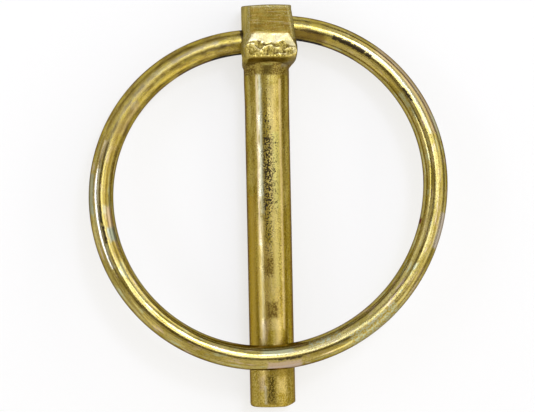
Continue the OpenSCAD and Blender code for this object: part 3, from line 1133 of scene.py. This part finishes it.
def ring_plating():
    """Plated spring wire: drawn lines, specks and tints, a scuffed dull side and matt ends that are
    browner with painted shade by the head, then pink, green and black stains, painted highlight and
    painted shade, matt mottled patches, and black wear marks."""
    mat, tree, shader = metal("ring_plating", RING_COAT)
    place = attribute(tree, "wire")["Vector"]
    along, outward, up = axes(tree, place)
    across = round_bar(tree, outward, up, WIRE_R)
    noises = grains(tree, place, RING_GRAINS)
    rough = centred(tree, noises["patches"], STAIN_RAG)
    masks = ring_masks(tree, noises, along, across, rough)

    colour = blend(tree, between(tree, noises["cloud"], *CLOUDS), OLIVE, GOLD)
    colour = tinted(tree, colour, noises, RING_STREAKS)
    colour = tinted(tree, colour, noises, RING_SCUFFS, masks["dull"])
    colour = tinted(tree, colour, noises, RING_TINTS)
    colour = finished(tree, colour, masks, noises, END_FINISH)
    colour = stains_and_painted_light(tree, colour, along, across, rough, RING_STAINS_AND_PAINTED_LIGHT)
    colour = finished(tree, colour, masks, noises, MATT_FINISH)
    colour = coated(tree, colour, masks, RING_BLACK)

    roughness = between(tree, noises["patches"], *GLOSS_PATCHES, *RING_GLOSS)
    roughness = summed(tree, roughness, [(masks[name], more) for name, more in RING_ROUGHER])
    drawn = [(noises["lines"], RING_BUMP), (noises["speck"], RING_BUMP)]
    normal = bumped(tree, summed(tree, 0.0, [*drawn, (masks["black"], -WEAR_BUMP)]))
    feed(tree, shader, {"Base Color": colour, "Roughness": roughness, "Normal": normal})
    return mat


def face_colour(tree, noises):
    """The brushed sides and front of the head: dark gold with an olive tint and fine hair lines."""
    face = blend(tree, between(tree, noises["blot"], *FACE_BLOTS), FACE_DARK, FACE_GOLD)
    return tinted(tree, face, noises, FACE_TINTS)


def handling_marks(tree, noises, across, y, rough):
    """A mask for each handling mark on the pin: specks that crowd together inside it."""
    clouds = centred(tree, noises["blot"], 1.0)
    dots = calc(tree, "MULTIPLY_ADD", clouds, HANDLED_CLOUDS, noises["dots"])
    marks = []
    for area, density, _ in PIN_WEAR:
        inside = mark(tree, across, y, area, HANDLED_EDGE, rough)
        specks = between(tree, dots, HANDLED_NONE - density, HANDLED_FULL - density)
        marks.append(calc(tree, "MULTIPLY", inside, specks))
    return marks


def pin_masks(tree, y, marks):
    """Where the pin's finishes lie, as 0 to 1: the mesh's own zones, the tip and the marks."""
    zones = ("facet", "torn", "brushed", "neck", "under", "edge", "wall", "crest", "cut")
    masks = {name: attribute(tree, name)["Fac"] for name in zones}
    masks["tip"] = between(tree, y, *PEPPERED_TIP)
    masks["rough_tip"] = between(tree, y, *ROUGH_TIP)
    masks["black"] = largest(tree, marks)
    return masks


def pin_colour(tree, noises, masks, y):
    """The pin's plating before its stains: the shank, then the head's parts, then the specks."""
    colour = blend(tree, between(tree, noises["cloud"], *CLOUDS), SHANK_OLIVE, SHANK_GOLD)
    colour = blend(tree, between(tree, y, *SHANK_AMBER, *AMBER_RANGE), colour, AMBER)
    colour = tinted(tree, colour, noises, SHANK_STREAKS)
    colour = blend(tree, masks["brushed"], colour, face_colour(tree, noises))
    colour = finished(tree, colour, masks, noises, HEAD_FINISHES)
    colour = coated(tree, colour, masks, UNDER_FINISH)
    colour = finished(tree, colour, masks, noises, TIP_FINISH)
    colour = finished(tree, colour, masks, noises, FACET_FINISHES)
    colour = coated(tree, colour, masks, FACET_MARKS)
    calm = calc(tree, "MAXIMUM", masks["brushed"], masks["facet"])
    strength = calc(tree, "MULTIPLY_ADD", calm, -SPECKS_CALMED, SPECKS)
    colour = tinted(tree, colour, noises, [("speck", 0.52, 0.30, strength, BROWN_AND_SHADE)])
    return tinted(tree, colour, noises, PIN_GLINTS)


def pin_plating():
    """Plated forged steel: a drawn shank, a brushed head whose left wall is lightened by painted
    light, a peppered neck and tip, a facet that is polished above and torn below with painted
    highlight on its crests and rims and painted shade in its cuts, stains with painted highlight
    and shade among them, and black and brown handling marks."""
    mat, tree, shader = metal("pin_plating", PIN_COAT)
    metres = node(tree, "TexCoord", {}).outputs["Object"]
    place = node(tree, "VectorMath", {0: metres, "Scale": 1.0 / MM}, operation="SCALE").outputs[0]
    x, y, z = axes(tree, place)
    across = round_bar(tree, x, z, SHANK_R)
    noises = grains(tree, place, PIN_GRAINS)
    rough = centred(tree, noises["blot"], STAIN_RAG)
    marks = handling_marks(tree, noises, across, y, rough)
    masks = pin_masks(tree, y, marks)

    colour = pin_colour(tree, noises, masks, y)
    colour = stains_and_painted_light(tree, colour, across, y, rough, PIN_STAINS_AND_PAINTED_LIGHT)
    for worn, (_, _, tone) in zip(marks, PIN_WEAR):
        colour = blend(tree, calc(tree, "MULTIPLY", worn, HANDLED_STRENGTH), colour, tone)

    roughness = between(tree, noises["blot"], *GLOSS_PATCHES, *PIN_GLOSS)
    roughness = summed(tree, roughness, [(masks[name], more) for name, more in PIN_ROUGHER])
    hairs = calc(tree, "MULTIPLY", noises["hair"], masks["brushed"])
    drawn = [(noises["drawn"], PIN_BUMP), (noises["speck"], PIN_BUMP), (hairs, HAIR_BUMP)]
    normal = bumped(tree, summed(tree, 0.0, [*drawn, (masks["black"], -WEAR_BUMP)]))
    feed(tree, shader, {"Base Color": colour, "Roughness": roughness, "Normal": normal})
    return mat


def view_axes():
    """The camera's right, up and backward directions in the CAD frame."""
    yaw, roll = math.radians(CAMERA_YAW), math.radians(CAMERA_ROLL)
    level = Vector((math.cos(yaw), 0, math.sin(yaw)))
    back = Vector((-math.sin(yaw), 0, math.cos(yaw)))
    right = level * math.cos(roll) - PIN_AXIS * math.sin(roll)
    up = level * math.sin(roll) + PIN_AXIS * math.cos(roll)
    return right, up, back


def stand(thing, place, right, up, back):
    """Puts a camera or lamp at a place in millimetres, with its back turned as given."""
    turn = Matrix((right, up, back)).transposed().to_4x4()
    thing.matrix_world = Matrix.Translation(place * MM) @ turn


def make_camera():
    """The camera, at the angle from which the ring and the head's front are seen."""
    right, up, back = view_axes()
    data = bpy.data.cameras.new("camera")
    data.sensor_width = SENSOR
    data.lens = SENSOR * CAMERA_DISTANCE / VIEW_WIDTH
    data.clip_start, data.clip_end = CLIP_METRES
    cam = add_object("camera", data)
    stand(cam, Vector(VIEW_CENTRE) + back * CAMERA_DISTANCE, right, up, back)
    bpy.context.scene.camera = cam


def softbox(name, azimuth, elevation, width, height, radiance, tint):
    """A rectangular lamp at an angle from the camera's line, and as wide as the angle it fills."""
    back = view_axes()[2]
    level = PIN_AXIS.cross(back)
    az, el = math.radians(azimuth), math.radians(elevation)
    away = level * (math.sin(az) * math.cos(el)) + PIN_AXIS * math.sin(el)
    away += back * (math.cos(az) * math.cos(el))
    data = bpy.data.lights.new(name, "AREA")
    data.shape = "RECTANGLE"
    data.size = 2 * LAMP_DISTANCE * MM * math.tan(math.radians(width) / 2)
    data.size_y = 2 * LAMP_DISTANCE * MM * math.tan(math.radians(height) / 2)
    data.energy = math.pi * data.size * data.size_y * radiance
    data.color = tint
    lamp = add_object(name, data)
    side = PIN_AXIS.cross(away).normalized()
    stand(lamp, Vector(VIEW_CENTRE) + away * LAMP_DISTANCE, side, away.cross(side), away)


def make_lamps():
    """All the softboxes."""
    for lamp in KEY_LAMPS:
        softbox(*lamp, KEY_TINT)
    for lamp in FILL_LAMPS:
        softbox(*lamp, FILL_TINT)


def floor_material():
    """A pale floor that keeps the object's shadow; the camera and reflections see it whiter."""
    mat = bpy.data.materials.new("floor")
    mat.use_nodes = True
    tree = mat.node_tree
    shader = tree.nodes["Principled BSDF"]
    feed(tree, shader, {"Base Color": (*FLOOR_COLOUR, 1), "Roughness": FLOOR_ROUGHNESS})
    rays = node(tree, "LightPath", {}).outputs
    kinds = ("Is Camera Ray", "Is Glossy Ray", "Is Transmission Ray")
    share = calc(tree, "MULTIPLY", largest(tree, [rays[kind] for kind in kinds]), FLOOR_WHITE)
    white = node(tree, "Emission", {}).outputs[0]
    mixed = node(tree, "MixShader", {0: share, 1: shader.outputs[0], 2: white}).outputs[0]
    feed(tree, tree.nodes["Material Output"], {"Surface": mixed})
    return mat


def make_floor():
    """The floor, a square that the pin rests on."""
    corners = ((-1, -1), (1, -1), (1, 1), (-1, 1))
    points = [(x * FLOOR_HALF_METRES, y * FLOOR_HALF_METRES, cad_low.z) for x, y in corners]
    mesh = bpy.data.meshes.new("floor")
    mesh.from_pydata(points, [], [(0, 1, 2, 3)])
    mesh.update()
    mesh.materials.append(floor_material())
    add_object("floor", mesh)


def make_world():
    """The warm brown surroundings, which give the reflections their dark lines."""
    world = bpy.data.worlds.new("studio")
    world.use_nodes = True
    world.node_tree.nodes["Background"].inputs["Color"].default_value = (*WORLD, 1)
    bpy.context.scene.world = world


make_camera()
make_floor()
make_world()
make_lamps()

pin = make_pin()
pin.data.materials.append(pin_plating())
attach(pin, "pin")
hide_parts("pin")

ring = make_ring()
ring.data.materials.append(ring_plating())
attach(ring, "ring")
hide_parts("ring")

bpy.context.scene.view_settings.view_transform = "Standard"
